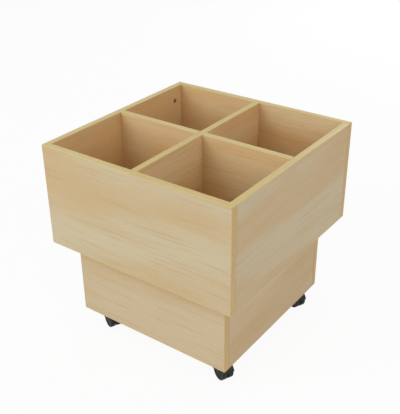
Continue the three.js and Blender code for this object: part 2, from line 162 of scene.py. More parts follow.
def matt_floor():
    """Pale paper: a faint speckle in its colour, mixed with plain white for the camera's rays. Seen from
    below it is clear, so the casters can be looked at from under the floor."""
    finish = bpy.data.materials.new("studio_floor")
    finish.use_nodes = True
    tree = finish.node_tree
    tree.nodes.clear()
    place = node(tree, "TexCoord").outputs["Object"]
    speckle = node(tree, "TexNoise", {"Vector": place, "Scale": SPECKLES, "Detail": 3.0}).outputs[0]
    shade = node(tree, "MapRange", {"Value": speckle, "To Min": DULLEST, "To Max": PALEST}).outputs[0]
    paper = node(tree, "BsdfDiffuse", {"Color": shade}).outputs[0]
    white = node(tree, "Emission", {"Color": WHITE, "Strength": 1.0}).outputs[0]
    share = node(tree, "Math", {0: seen_directly(tree), 1: FLOOR_WHITE}, operation="MULTIPLY").outputs[0]
    both = node(tree, "MixShader", {0: share, 1: paper, 2: white}).outputs[0]
    below = node(tree, "NewGeometry").outputs["Backfacing"]
    clear = node(tree, "BsdfTransparent").outputs[0]
    one_sided = node(tree, "MixShader", {0: below, 1: both, 2: clear}).outputs[0]
    node(tree, "OutputMaterial", {"Surface": one_sided})
    return finish


corners = FLOOR_REACH * np.array([[-1, -1, 0], [1, -1, 0], [1, 1, 0], [-1, 1, 0]])
floor_mesh = bpy.data.meshes.new("studio_floor")
floor_mesh.from_pydata(corners.tolist(), [], [[0, 1, 2, 3]])
floor_mesh.materials.append(matt_floor())
studio_floor = bpy.data.objects.new("studio_floor", floor_mesh)
scene.collection.objects.link(studio_floor)
print("floor:", 2 * FLOOR_REACH, "m square")

# %% [markdown]
# ## Maple
# The boards are faced with pale maple. Its figure is quiet: the tone drifts from greyish cream to tan
# over a hand's width, softer stripes run the length of each board, and thin streaks, fine fibres and
# short dark pores lie on top. A photograph of wood would repeat on every board. A shader group that
# works in the wood's own directions (along, across and through the grain) gives each board its own
# piece of one tree. Each layer is noise in cells that are long along the grain and narrow across it.

# %% Write helpers for shader groups


def srgb(red, green, blue):
    """The linear colour of a screen colour: levels up to 0.04 are divided, the others are raised to 2.4."""
    level = np.array([red, green, blue]) / 255
    linear = np.where(level <= 0.04045, level / 12.92, ((level + 0.055) / 1.055) ** 2.4)
    return (*linear.tolist(), 1.0)


def new_group(name, inputs, outputs):
    """A shader group with named sockets; returns its tree, its input sockets and its output node."""
    tree = bpy.data.node_groups.new(name, "ShaderNodeTree")
    for label, kind in inputs.items():
        tree.interface.new_socket(label, in_out="INPUT", socket_type="NodeSocket" + kind)
    for label, kind in outputs.items():
        tree.interface.new_socket(label, in_out="OUTPUT", socket_type="NodeSocket" + kind)
    return tree, tree.nodes.new("NodeGroupInput").outputs, tree.nodes.new("NodeGroupOutput")


def math(tree, operation, first, second):
    """One sum on two values or sockets."""
    return node(tree, "Math", {0: first, 1: second}, operation=operation).outputs[0]


def ramp(tree, value, low, high, start=0.0, end=1.0):
    """Maps low..high smoothly onto start..end and holds the ends."""
    settings = {"Value": value, "From Min": low, "From Max": high, "To Min": start, "To Max": end}
    return node(tree, "MapRange", settings, interpolation_type="SMOOTHSTEP").outputs[0]


def mix(tree, share, first, second, blend="MIX"):
    """Blends two colours by a share."""
    sockets = {0: share, 6: first, 7: second}
    return node(tree, "Mix", sockets, data_type="RGBA", blend_type=blend).outputs[2]


def stretched(tree, place, cells, detail):
    """Noise with its own number of cells per metre in each direction."""
    scaled = node(tree, "VectorMath", {0: place, 1: cells}, operation="MULTIPLY").outputs[0]
    return node(tree, "TexNoise", {"Vector": scaled, "Scale": 1.0, "Detail": detail}).outputs[0]


print("shader helpers: ready")

# %% Make the maple figure
# Cells per metre along, across and through the grain, and how much finer detail each layer has
DRIFT = {"cells": (1.6, 7.0, 30.0), "detail": 2.0}
STRIPES = {"cells": (2.4, 22.0, 45.0), "detail": 3.0}
STREAKS = {"cells": (4.5, 120.0, 120.0), "detail": 3.0}
FIBRES = {"cells": (22.0, 650.0, 650.0), "detail": 2.0}
PORES = {"cells": (130.0, 2600.0, 2600.0), "detail": 0.0}
SWAY = 0.006  # metres that the grain wanders to each side
SWAY_RANGE = (0.2, 0.8)  # levels of the drift from one side to the other

LAYERS = {"Color": "Color", "Roughness": "Float", "Height": "Float"}
WOOD_INPUTS = {"Grain": "Vector", "Painted_light_mask": "Float"}
WOOD_INPUTS.update(dict.fromkeys(("Pale", "Tan", "Streak", "Painted_light_tint"), "Color"))
maple, wood, wood_out = new_group("maple_figure", WOOD_INPUTS, LAYERS)
drift = stretched(maple, wood["Grain"], **DRIFT)
sway = node(maple, "CombineXYZ", {"Y": ramp(maple, drift, *SWAY_RANGE, -SWAY, SWAY)}).outputs[0]
grain = node(maple, "VectorMath", {0: wood["Grain"], 1: sway}, operation="ADD").outputs[0]
stripes = stretched(maple, grain, **STRIPES)
streaks = stretched(maple, grain, **STREAKS)
fibres = stretched(maple, grain, **FIBRES)
pores = stretched(maple, grain, **PORES)
print("maple figure:", len(maple.nodes), "nodes for drift, stripes, streaks, fibres and pores")

# %% Colour the maple figure
DRIFT_SHARE = 0.75  # of the tone; the stripes have the rest
TAN_RANGE = (0.38, 0.60)  # levels of the tone from pale to tan
STREAK_RANGE = (0.50, 0.78)
STREAK_SHARE = 0.70  # of the streaks' own colour, where they are strongest
PORE_RANGE = (0.66, 0.76)
PORE_SHARE = 0.30
MOST = (0.25, 0.75)  # where most levels of a noise lie
FIBRE_SHADES = (0.955, 1.03)
SHEEN = (0.50, 0.60)  # roughness between and on the fibres
PORE_ROUGHNESS = 0.12
FIBRE_HEIGHT = 0.5  # of a pore's depth

broad = math(maple, "MULTIPLY", drift, DRIFT_SHARE)
tone = math(maple, "ADD", broad, math(maple, "MULTIPLY", stripes, 1 - DRIFT_SHARE))
colour = mix(maple, ramp(maple, tone, *TAN_RANGE), wood["Pale"], wood["Tan"])
colour = mix(maple, ramp(maple, streaks, *STREAK_RANGE, 0.0, STREAK_SHARE), colour, wood["Streak"])
colour = mix(maple, 1.0, colour, ramp(maple, fibres, *MOST, *FIBRE_SHADES), "MULTIPLY")
pore_mask = ramp(maple, pores, *PORE_RANGE)
colour = mix(maple, math(maple, "MULTIPLY", pore_mask, PORE_SHARE), colour, wood["Streak"], "MULTIPLY")
# Where the mask input is set, the colour is multiplied by the tint input: painted warm bounce light inside
# the compartments, and painted shade on the bands' upright runs
colour = mix(maple, wood["Painted_light_mask"], colour, mix(maple, 1.0, colour, wood["Painted_light_tint"], "MULTIPLY"))
maple.links.new(colour, wood_out.inputs["Color"])

sheen = ramp(maple, fibres, *MOST, *SHEEN)
roughness = math(maple, "ADD", sheen, math(maple, "MULTIPLY", pore_mask, PORE_ROUGHNESS))
maple.links.new(roughness, wood_out.inputs["Roughness"])
relief = math(maple, "SUBTRACT", math(maple, "MULTIPLY", fibres, FIBRE_HEIGHT), pore_mask)
maple.links.new(relief, wood_out.inputs["Height"])
print("maple figure: colour, roughness and height")

# %% [markdown]
# ## Board and band finishes
# Every upright board has its grain lying level, and the two flat boards have it from left to right. So
# the board finish swaps the axes of the object's own coordinates before the figure reads them. A shift
# across the grain cuts the bin and the plinth from different parts of the tree, and the plinth's cut puts
# a tan band at the top of its front that also paints the shade under the bin's overhang. Inside the
# compartments the colour is tinted warmer and brighter: painted bounce light from wood lighting wood.
# The edge bands are thin strips with the grain along the strip, yellower than the faces, partly their
# own tone and partly painted light from above on the top rims; where they stand upright a darker, more
# orange tint paints their shade. Their finish reads the strip's own UV lengths, so it turns every corner
# with it.

# %% Write helpers for the wood finishes


def finished(name, group, place, values, bump):
    """A material on one shader: the group gives colour, roughness and height, and the height is a bump."""
    finish = bpy.data.materials.new(name)
    finish.use_nodes = True
    tree = finish.node_tree
    shader = tree.nodes["Principled BSDF"]
    layers = tree.nodes.new("ShaderNodeGroup")
    layers.node_tree = group
    for label, socket in place(tree).items():
        tree.links.new(socket, layers.inputs[label])
    for label, value in values.items():
        layers.inputs[label].default_value = value
    tree.links.new(layers.outputs["Color"], shader.inputs["Base Color"])
    tree.links.new(layers.outputs["Roughness"], shader.inputs["Roughness"])
    raised = {"Height": layers.outputs["Height"], "Strength": bump[0], "Distance": bump[1]}
    tree.links.new(node(tree, "Bump", raised).outputs[0], shader.inputs["Normal"])
    return finish


INNER_REACH = 290.5 * MM  # half way through the walls
INNER_FLOOR = 313.5 * MM  # just under the upper face of the compartments' floor


def painted_bounce_mask(tree, spot):
    """1 on what faces the compartments, where a warm bounce light is painted: above their floor, and nearer
    the middle than half the walls.
    """
    parts = node(tree, "SeparateXYZ", {0: spot}).outputs
    mask = math(tree, "GREATER_THAN", parts["Z"], INNER_FLOOR)
    for axis in "XY":
        distance = node(tree, "Math", {0: parts[axis]}, operation="ABSOLUTE").outputs[0]
        mask = math(tree, "MULTIPLY", mask, math(tree, "LESS_THAN", distance, INNER_REACH))
    return mask


def swapped(order, shift=0.0):
    """Object coordinates in a new order, such as "XZY": along X, across Z, through Y. The shift, in
    metres across the grain, picks the part of the tree that the boards are cut from."""

    def place(tree):
        spot = node(tree, "TexCoord").outputs["Object"]
        parts = node(tree, "SeparateXYZ", {0: spot}).outputs
        turned = node(tree, "CombineXYZ", dict(zip("XYZ", (parts[axis] for axis in order)))).outputs[0]
        cut = node(tree, "Mapping", {"Vector": turned, "Location": (0, shift, 0)}).outputs[0]
        return {"Grain": cut, "Painted_light_mask": painted_bounce_mask(tree, spot)}

    return place


def strip_lengths(tree):
    """The strip's own lengths in metres, along it and across it, and its mark for an upright run, where a
    painted shade goes.
    """
    upright = node(tree, "Attribute", attribute_name="upright").outputs["Fac"]
    return {"Grain": node(tree, "UVMap", uv_map="strip").outputs[0], "Painted_light_mask": upright}


print("wood finishes: helpers ready")

# %% Finish the boards and bands
FACE = {
    "Pale": srgb(202, 188, 154),
    "Tan": srgb(199, 173, 129),
    "Streak": srgb(192, 161, 114),
    # painted warm bounce light, multiplied in on the faces inside the compartments
    "Painted_light_tint": (1.26, 1.15, 1.02, 1.0),
}
PLINTH_FACE = {**FACE, "Pale": srgb(204, 185, 150)}
# Band colours: partly the band's own yellower tone, partly painted light, brightened for the top rims that
# the light falls on from above
EDGE = {
    "Pale": srgb(217, 198, 141),
    "Tan": srgb(213, 191, 127),
    "Streak": srgb(202, 172, 110),
    # painted shade, multiplied in on the bands' upright runs
    "Painted_light_tint": (0.87, 0.78, 0.79, 1.0),
}
WOOD_BUMP = (0.25, 0.2 * MM)  # strength and depth
ACROSS, DEEP, FLAT = "XZY", "YZX", "XYZ"  # upright boards left to right and front to back, and flat boards
BIN_CUTS = {ACROSS: 3.39, DEEP: 2.83}  # metres across the tree where each set of boards is cut
# The plinth's cut is set so that a tan band of its grain lies at the top of its front, where it also paints
# the shade under the bin's overhang
PLINTH_CUTS = {ACROSS: -1.23, DEEP: 1.60}


def board_finish(name, order, colours, shift=0.0):
    """The maple figure for boards that lie one way."""
    return finished(name, maple, swapped(order, shift), colours, WOOD_BUMP)


maple_across = board_finish("maple_left_to_right", ACROSS, FACE, BIN_CUTS[ACROSS])
maple_deep = board_finish("maple_front_to_back", DEEP, FACE, BIN_CUTS[DEEP])
maple_flat = board_finish("maple_lying_flat", FLAT, FACE)
plinth_across = board_finish("plinth_left_to_right", ACROSS, PLINTH_FACE, PLINTH_CUTS[ACROSS])
plinth_deep = board_finish("plinth_front_to_back", DEEP, PLINTH_FACE, PLINTH_CUTS[DEEP])
maple_edge = finished("maple_edge_band", maple, strip_lengths, EDGE, WOOD_BUMP)
print("wood finishes: five sets of boards, and the band")

# %% Give the kept boards their grain
KEPT_BOARDS = {
    "bin_floor": maple_flat,
    "plinth_base": maple_flat,
    "bin_left_wall": maple_deep,
    "bin_right_wall": maple_deep,
    "divider_front_to_back": maple_deep,
    "bin_front_wall": maple_across,
    "bin_back_wall": maple_across,
    "divider_left_to_right": maple_across,
}


def refinish(name, finish):
    """Gives a kept node one new finish."""
    materials = frame["nodes"][name].data.materials
    materials.clear()
    materials.append(finish)


for name, grain_finish in KEPT_BOARDS.items():
    refinish(name, grain_finish)
print("boards:", len(KEPT_BOARDS), "with their grain set")

# %% [markdown]
# ## Black plastic, zinc and steel
# The hoods and wheels are moulded black nylon, matt with a fine grain. The treads are the same
# nylon, rubbed greyer by the floor. The cams are die-cast zinc and the plates, pins and screws are
# plated steel. All of them share one effect: a mottle that changes the gloss, a fine moulded or cast
# grain, and thin scratches from handling. So it is one group with its own values in each finish.

# %% Make the handled surface
MOTTLE = {"cells": (90.0, 90.0, 90.0), "detail": 3.0}
PITS = {"cells": (1900.0, 1900.0, 1900.0), "detail": 1.0}
SCRATCHES = {"cells": (60.0, 2200.0, 700.0), "detail": 1.0}
SCRATCH_TURN = {"Angle": 0.9, "Axis": (0.4, 0.7, 0.6)}  # so that no scratch runs along an edge
SCRATCH_RANGE = (0.70, 0.80)
RUBBED_RANGE = (0.45, 0.80)  # levels of the mottle from fresh to rubbed
RUBBED_SHARE = 0.55

handled, worn, worn_out = new_group(
    "handled_surface",
    {"Place": "Vector", "Base": "Color", "Worn": "Color", "Smooth": "Float", "Rough": "Float"},
    LAYERS,
)
mottle = stretched(handled, worn["Place"], **MOTTLE)
pits = stretched(handled, worn["Place"], **PITS)
turned_place = node(handled, "VectorRotate", {"Vector": worn["Place"], **SCRATCH_TURN}).outputs[0]
scratches = ramp(handled, stretched(handled, turned_place, **SCRATCHES), *SCRATCH_RANGE)
rubbed = math(handled, "MAXIMUM", ramp(handled, mottle, *RUBBED_RANGE, 0.0, RUBBED_SHARE), scratches)
handled.links.new(mix(handled, rubbed, worn["Base"], worn["Worn"]), worn_out.inputs["Color"])
gloss = ramp(handled, mottle, *MOST)
roughness = node(handled, "Mix", {0: gloss, 2: worn["Smooth"], 3: worn["Rough"]}).outputs[0]
handled.links.new(roughness, worn_out.inputs["Roughness"])
handled.links.new(math(handled, "SUBTRACT", pits, scratches), worn_out.inputs["Height"])
print("handled surface:", len(handled.nodes), "nodes")

# %% Finish the plastic and the metals


def in_place(tree):
    """The object's own coordinates, in metres."""
    return {"Place": node(tree, "TexCoord").outputs["Object"]}


NYLON = {"Base": srgb(20, 20, 21), "Worn": srgb(36, 36, 37), "Smooth": 0.36, "Rough": 0.52}
TREAD = {"Base": srgb(24, 24, 24), "Worn": srgb(46, 45, 43), "Smooth": 0.50, "Rough": 0.70}
ZINC = {"Base": srgb(150, 147, 141), "Worn": srgb(186, 184, 179), "Smooth": 0.34, "Rough": 0.50}
STEEL = {"Base": srgb(178, 180, 182), "Worn": srgb(206, 207, 208), "Smooth": 0.26, "Rough": 0.40}
GRAIN_DEPTH = 0.1 * MM  # of the moulded or cast grain; the number before it below is its strength
black_nylon = finished("black_nylon", handled, in_place, NYLON, (0.30, GRAIN_DEPTH))
rubbed_tread = finished("rubbed_tread", handled, in_place, TREAD, (0.40, GRAIN_DEPTH))
cast_zinc = finished("cast_zinc", handled, in_place, ZINC, (0.25, GRAIN_DEPTH))
plated_steel = finished("plated_steel", handled, in_place, STEEL, (0.12, GRAIN_DEPTH))
for plastic in (black_nylon, rubbed_tread):
    plastic.node_tree.nodes["Principled BSDF"].inputs["Specular IOR Level"].default_value = 0.3
for metal in (cast_zinc, plated_steel):
    metal.node_tree.nodes["Principled BSDF"].inputs["Metallic"].default_value = 1.0
for name in frame["nodes"]:
    if name.startswith("cam_bolt") or name.endswith(("_kingpin", "_axle")):
        refinish(name, plated_steel)
print("finishes: nylon, tread, zinc and steel; bolts, pins and axles set")

# %% [markdown]
# ## Skins
# Every new piece is made the same way. A list of outlines, each with the same number of points, is
# joined into a skin, as the ribs of a boat carry its planks. Wheels, bands, hoods and screws differ
# only in their outlines. Boolean cuts would do the same with less control over the edges. The skin
# also keeps its lengths as a UV map, which the bands use for their grain.

# %% Join outlines into skins
# Points, faces of four corners, the two end faces, UV lengths, and which faces stand upright
Skin = namedtuple("Skin", "points faces ends lengths upright", defaults=(None,))


def enclosed(points, faces, ends):
    """Six times the volume inside: the sum of a . (b x c) over all triangles a, b, c."""
    fans = [np.stack([np.full(len(end) - 2, end[0]), end[1:-1], end[2:]], -1) for end in ends]
    triangles = np.concatenate([faces[:, [0, 1, 2]], faces[:, [0, 2, 3]], *fans])
    a, b, c = points[triangles].swapaxes(0, 1)
    return np.einsum("ij,ij->", a, np.cross(b, c))


def skin(outlines, joined=False, start=0.0):
    """Faces between outlines[i, j], outline i and point j: each face joins points j and j+1 of outline
    i to those of outline i+1. Where joined, the last outline runs on into the first; otherwise both
    ends get a flat face. Faces are turned round if the enclosed volume comes out negative. UV lengths:
    metres along the outlines' middles, from the start, and metres round the first outline."""
    outlines = np.asarray(outlines, float)
    count, points = outlines.shape[:2]
    index = np.arange(count * points).reshape(count, points)
    near = index if joined else index[:-1]
    far = np.roll(index, -1, axis=0) if joined else index[1:]
    faces = np.stack([near, np.roll(near, -1, 1), np.roll(far, -1, 1), far], -1).reshape(-1, 4)
    ends = [] if joined else [index[0, ::-1], index[-1]]

    middle = outlines.mean(axis=1)
    strides = np.linalg.norm(np.roll(middle, -1, 0) - middle, axis=1)
    sides = np.linalg.norm(np.roll(outlines[0], -1, 0) - outlines[0], axis=1)
    along = start + np.append(0, np.cumsum(strides))
    across = np.append(0, np.cumsum(sides))
    u0, u1 = along[:len(near)], along[1:len(near) + 1]
    v0, v1 = across[:-1], across[1:]
    lengths = np.empty((len(near), points, 4, 2))
    lengths[..., 0] = np.stack([u0, u0, u1, u1], -1)[:, None]
    lengths[..., 1] = np.stack([v0, v1, v1, v0], -1)
    lengths = lengths.reshape(-1, 4, 2)
    end_lengths = [
        np.stack([np.full(points, along[0]), v0[::-1]], -1),
        np.stack([np.full(points, along[count - 1]), v0], -1),
    ]

    at = outlines.reshape(-1, 3)
    way = 1 if enclosed(at, faces, ends) > 0 else -1
    lengths = [lengths[:, ::way].reshape(-1, 2), *(pair[::way] for pair in end_lengths[:len(ends)])]
    return Skin(at, faces[:, ::way], [end[::way] for end in ends], np.concatenate(lengths))


print("skins: helper ready")

# %% Make pieces from skins
SMOOTH_ANGLE = 38  # degrees; a sharper fold between two faces shows as an edge


def piece(name, skins, finish, body, stands_for=(), upright_finish=None):
    """One object from one or more skins: their points follow each other in one mesh. The faces that the
    first skin marks as upright can have a finish of their own."""
    starts = np.cumsum([0] + [len(made.points) for made in skins])
    faces = []
    for made, first in zip(skins, starts):
        faces += (made.faces + first).tolist()
        faces += [(end + first).tolist() for end in made.ends]
    mesh = bpy.data.meshes.new(name)
    mesh.from_pydata(np.concatenate([made.points for made in skins]).tolist(), [], faces)
    strip = mesh.uv_layers.new(name="strip")
    strip.data.foreach_set("uv", np.concatenate([made.lengths for made in skins]).ravel())
    mesh.shade_smooth()
    mesh.set_sharp_from_angle(angle=np.radians(SMOOTH_ANGLE))
    mesh.materials.append(finish)
    upright = skins[0].upright
    if upright is not None:
        marks = mesh.attributes.new("upright", "FLOAT", "FACE")
        marks.data.foreach_set("value", upright.astype(np.float32))
    if upright_finish:
        mesh.materials.append(upright_finish)
        mesh.polygons.foreach_set("material_index", upright.astype(np.int32))
    shape = bpy.data.objects.new(name, mesh)
    scene.collection.objects.link(shape)
    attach(shape, body)
    if stands_for:
        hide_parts(*stands_for)


def eased(corners, cut, steps=5):
    """A closed outline with round corners. Each corner P becomes the curve (1-t)(1-t)A + 2t(1-t)P +
    ttB, where A and B lie the cut's length before and after P."""
    corners = np.asarray(corners, float)
    before = np.roll(corners, 1, axis=0) - corners
    after = np.roll(corners, -1, axis=0) - corners
    reach = np.broadcast_to(np.asarray(cut, float), len(corners))[:, None]
    start = corners + reach * before / np.linalg.norm(before, axis=1, keepdims=True)
    end = corners + reach * after / np.linalg.norm(after, axis=1, keepdims=True)
    t = np.linspace(0, 1, steps)[:, None]
    curve = (1 - t) ** 2 * start[:, None] + 2 * t * (1 - t) * corners[:, None] + t**2 * end[:, None]
    return curve.reshape(-1, 2)


print("pieces: helpers ready")

# %% [markdown]
# ## Bands round the walls
# A band two millimetres thick is glued round all four edges of each wall and rounded over with a
# router, which leaves a soft bright edge all the way round. A bevel modifier on a box could imitate
# it. Here the band's rounded section is carried round a rectangle whose corners are eased too, and
# the section's depth decides how far in from the rectangle each point runs. The side walls butt against
# the front and back walls, so their upright ends have the finish of their faces, and one strip shows at
# each corner.

# %% Band the walls
BAND = 2.0 * MM
EASE = 1.1 * MM  # rounding of the band's outer edges
SHARP = 0.05 * MM  # corners that stay nearly square
CORNER = 1.4 * MM  # rounding where two edges of a board meet
CURVE = 5  # points round each corner
SQUARE = np.array([[-1, -1], [1, -1], [1, 1], [-1, 1]])  # corners of a rectangle, in order


def carried_round(low, high, start):
    """The band round a board from low to high. The section is a rectangle, inward depth by thickness,
    with its two outer corners eased. A point at depth d follows the board's rectangle drawn in by d,
    with corners of radius CORNER - d, never sharper than SHARP. The runs after the second and the fourth
    corner are marked as upright."""
    low, high = np.array(low), np.array(high)
    size, centre = high - low, (low + high) / 2
    thin = int(np.argmin(size))
    level, rise = [axis for axis in range(3) if axis != thin]
    half = size[thin] / 2
    section = [(BAND, -half), (0, -half), (0, half), (BAND, half)]
    inward, side = eased(section, [SHARP, EASE, EASE, SHARP]).T
    corner = SQUARE[:, None, :] * (size[[level, rise]] / 2 - inward[:, None])
    before = np.roll(SQUARE, 1, axis=0) - SQUARE
    after = np.roll(SQUARE, -1, axis=0) - SQUARE
    radius = np.maximum(CORNER - inward, SHARP)[:, None]
    enter = corner + radius * before[:, None, :] / 2
    leave = corner + radius * after[:, None, :] / 2
    t = np.linspace(0, 1, CURVE)[:, None, None]
    path = (1 - t) ** 2 * enter[:, None] + 2 * t * (1 - t) * corner[:, None] + t**2 * leave[:, None]
    path = path.reshape(-1, len(inward), 2)
    outlines = np.empty((*path.shape[:2], 3))
    outlines[..., level] = centre[level] + path[..., 0]
    outlines[..., rise] = centre[rise] + path[..., 1]
    outlines[..., thin] = centre[thin] + side
    upright = np.isin(np.arange(len(outlines)), (2 * CURVE - 1, 4 * CURVE - 1))
    return skin(outlines, joined=True, start=start)._replace(upright=np.repeat(upright, len(inward)))


WALL_STARTS = 2.7 * np.arange(4)  # metres along the roll of band where each wall's strip is cut
for wall, start in zip(("front", "back", "left", "right"), WALL_STARTS):
    band_node = f"bin_{wall}_wall_edge_band"
    ring = carried_round(*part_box(band_node), start)
    butted = maple_deep if wall in ("left", "right") else None
    piece(f"{wall}_wall_band", [ring], maple_edge, "bin", [band_node], butted)
print("bands: round four walls")

# %% [markdown]
# ## Bands on the dividers
# The dividers carry a band on the top edge only, flush with the rim. The one that runs from front to
# back goes through, and the other one stops against it on both sides. A straight strip is the same
# rounded section drawn between two ends.

# %% Band the dividers


def drawn_out(low, high, start):
    """A straight strip: a section of width by height, with its two upper corners eased, drawn along
    the longest side of the box from low to high."""
    low, high = np.array(low), np.array(high)
    size, centre = high - low, (low + high) / 2
    run = int(np.argmax(size))
    wide = 1 - run
    half, rise = size[wide] / 2, size[2]
    section = [(-half, 0), (half, 0), (half, rise), (-half, rise)]
    side, height = eased(section, [SHARP, SHARP, EASE, EASE]).T
    outlines = np.empty((2, len(side), 3))
    outlines[..., run] = [[low[run]], [high[run]]]
    outlines[..., wide] = centre[wide] + side
    outlines[..., 2] = low[2] + height
    return skin(outlines, start=start)


DIVIDER_STARTS = 11.3 + 1.9 * np.arange(3)  # metres along the roll, as for the walls
dividers = ("front_to_back_edge_band", "left_to_right_edge_band_left", "left_to_right_edge_band_right")
for divider, start in zip(dividers, DIVIDER_STARTS):
    strip = drawn_out(*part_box(f"divider_{divider}"), start)
    piece(f"divider_{divider}_eased", [strip], maple_edge, "bin", [f"divider_{divider}"])
print("bands: on the dividers")

# %% [markdown]
# ## Plinth panels
# The plinth is four more boards, set in under the bin, with the same thin band round their edges. The
# measured panels are plain slabs with their dowels, so each one is remade as a core with a slight
# arris and a band round it. The narrow groove between the two is what shows where a band begins.

# %% Board the plinth
PLINTH_HALF = 250 * MM
BOARD = 19 * MM
JOINT_GAP = 0.2 * MM  # between boards that meet
PLINTH_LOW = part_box("plinth_base")[0].z
PLINTH_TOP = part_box("bin_floor")[0].z - JOINT_GAP
SIDE_REACH = PLINTH_HALF - BOARD - JOINT_GAP  # half length of the two side panels
GROOVE = 0.1 * MM  # glue line between a core and its band
ARRIS = 0.25 * MM


def core_board(low, high):
    """A slab with a small chamfer: the board's rectangle, drawn in by BAND and GROOVE, at four places
    through its thickness. The first and last are drawn in further by ARRIS."""
    low, high = np.array(low), np.array(high)
    thin = int(np.argmin(high - low))
    level, rise = [axis for axis in range(3) if axis != thin]
    centre = (low + high) / 2
    half = (high - low) / 2
    half[[level, rise]] -= BAND + GROOVE
    depth = half[thin] * np.array([-1, -1, 1, 1]) + ARRIS * np.array([0, 1, -1, 0])
    inset = ARRIS * np.array([1, 0, 0, 1])
    flat = SQUARE * (half[[level, rise]] - inset[:, None])[:, None, :]
    outlines = np.empty((4, 4, 3))
    outlines[..., level] = centre[level] + flat[..., 0]
    outlines[..., rise] = centre[rise] + flat[..., 1]
    outlines[..., thin] = centre[thin] + depth[:, None]
    return skin(outlines)


PANELS = {"front": (1, -1), "back": (1, 1), "left": (0, -1), "right": (0, 1)}  # axis and sign it faces
PANEL_STARTS = 19.1 + 2.3 * np.arange(4)  # metres along the roll, as for the walls
for (panel, (axis, sign)), start in zip(PANELS.items(), PANEL_STARTS):
    reach = PLINTH_HALF if axis == 1 else SIDE_REACH
    low, high = np.array([[-reach, -reach, PLINTH_LOW], [reach, reach, PLINTH_TOP]])
    low[axis], high[axis] = np.sort([sign * (PLINTH_HALF - BOARD), sign * PLINTH_HALF])
    core = core_board(low, high)
    grain_finish = plinth_across if axis == 1 else plinth_deep
    piece(f"plinth_{panel}_core", [core], grain_finish, "bin", [f"plinth_{panel}_panel"])
    ring = carried_round(low, high, start)
    butted = plinth_deep if axis == 0 else None
    piece(f"plinth_{panel}_band", [ring], maple_edge, "bin", upright_finish=butted)
print("plinth: four panels, from", round(PLINTH_LOW, 3), "to", round(PLINTH_TOP, 4), "m")

# %% [markdown]
# ## Cam locks
# Near each end of the side walls, two zinc cams sit flush in the inner face. A quarter turn of a
# screwdriver pulls the bolt in and closes the corner. What shows is a disc with a chamfered rim and a
# cross recess. A disc of rings lets the recess be a height: the face sinks where a point lies inside
# one of the two bars of the cross, with a soft edge that catches light.

# %% Draw a disc with a cross recess
CROSS_EDGE = 0.35 * MM  # width of a recess's sloping edge
CHAMFER_SHARE = 0.06  # of a disc's radius
CENTRE_SHARE = 0.02  # of the face's radius; a flat face closes the ring inside it


def smooth(value):
    """0 below 0, 1 above 1, and between them 3vv - 2vvv."""
    value = np.clip(value, 0, 1)
    return value * value * (3 - 2 * value)


def driven_disc(centre, axes, radius, depth, cross, dome=0.0, rings=26, sides=96):
    """A disc with a cross recess. axes are the unit vectors a, b and outward. At radius r and angle t the
    face's height is dome (1 - (r/radius)squared) less the cross's depth where a or b lies within half its
    width and the other within half its length. Then come a small chamfer and the side down to depth."""
    length, width, sunk = cross
    chamfer = CHAMFER_SHARE * radius
    t = np.linspace(0, 2 * np.pi, sides, endpoint=False)
    r = np.linspace(CENTRE_SHARE, 1, rings)[:, None] * (radius - chamfer)
    a, b = r * np.cos(t), r * np.sin(t)

    def bar(along, across):
        """1 inside one bar of the cross, 0 outside, and smooth between."""
        in_length = smooth((length / 2 - abs(along)) / CROSS_EDGE)
        return in_length * smooth((width / 2 - abs(across)) / CROSS_EDGE + 0.5)

    height = dome * (1 - (r / radius) ** 2) - sunk * np.maximum(bar(a, b), bar(b, a))
    edge = radius * np.ones((2, 1))
    a = np.concatenate([a, edge * np.cos(t)])
    b = np.concatenate([b, edge * np.sin(t)])
    height = np.concatenate([height, np.broadcast_to([[-chamfer], [-depth]], (2, sides))])
    local = np.stack([a, b, height], -1)
    return skin(np.asarray(centre, float) + local @ np.asarray(axes, float))


print("disc: helper ready")

# %% Set the cams
CAM_CROSS = (9 * MM, 1.7 * MM, 2 * MM)  # length, width and depth
CAM_COS, CAM_SIN = 0.8, 0.6  # how far the cross is turned
cam_nodes = [name for name in frame["nodes"] if name.startswith("cam_lock")]
for name in cam_nodes:
    low, high = map(np.array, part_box(name))
    inward = -np.sign(low[0] + high[0])
    face = low[0] if inward < 0 else high[0]
    centre = [face, (low[1] + high[1]) / 2, (low[2] + high[2]) / 2]
    axes = [(0, inward * CAM_COS, CAM_SIN), (0, -inward * CAM_SIN, CAM_COS), (inward, 0, 0)]
    disc = driven_disc(centre, axes, (high[2] - low[2]) / 2, high[0] - low[0], CAM_CROSS)
    piece(f"{name}_face", [disc], cast_zinc, "bin", [name])
print("cams:", len(cam_nodes))

# %% [markdown]
# ## Caster plates and screws
# Each caster hangs from a steel plate under the plinth, held by four round-headed screws. The plate
# is punched from sheet, so it has round corners and a slight roll at its edges. The screw heads are
# the cam's disc again, smaller and domed, facing down.

# %% Read where each caster stands
joint_of = {joint["name"]: joint for joint in frame["joints"]}
casters = sorted(name[: -len("_swivel")] for name in joint_of if name.endswith("_swivel"))


def swivel_place(caster):
    """Where the swivel's axis meets the floor, from the box of the round kingpin."""
    low, high = map(np.array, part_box(f"{caster}_kingpin"))
    return np.array([*(low + high)[:2] / 2, 0.0])


print("casters:", casters, "first at", swivel_place(casters[0]).round(3))

# %% Hang the plates
PLATE_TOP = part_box("caster_front_left_kingpin")[1].z
PLATE = 2.5 * MM
PLATE_HALF = 21 * MM
PLATE_CORNER = 5 * MM
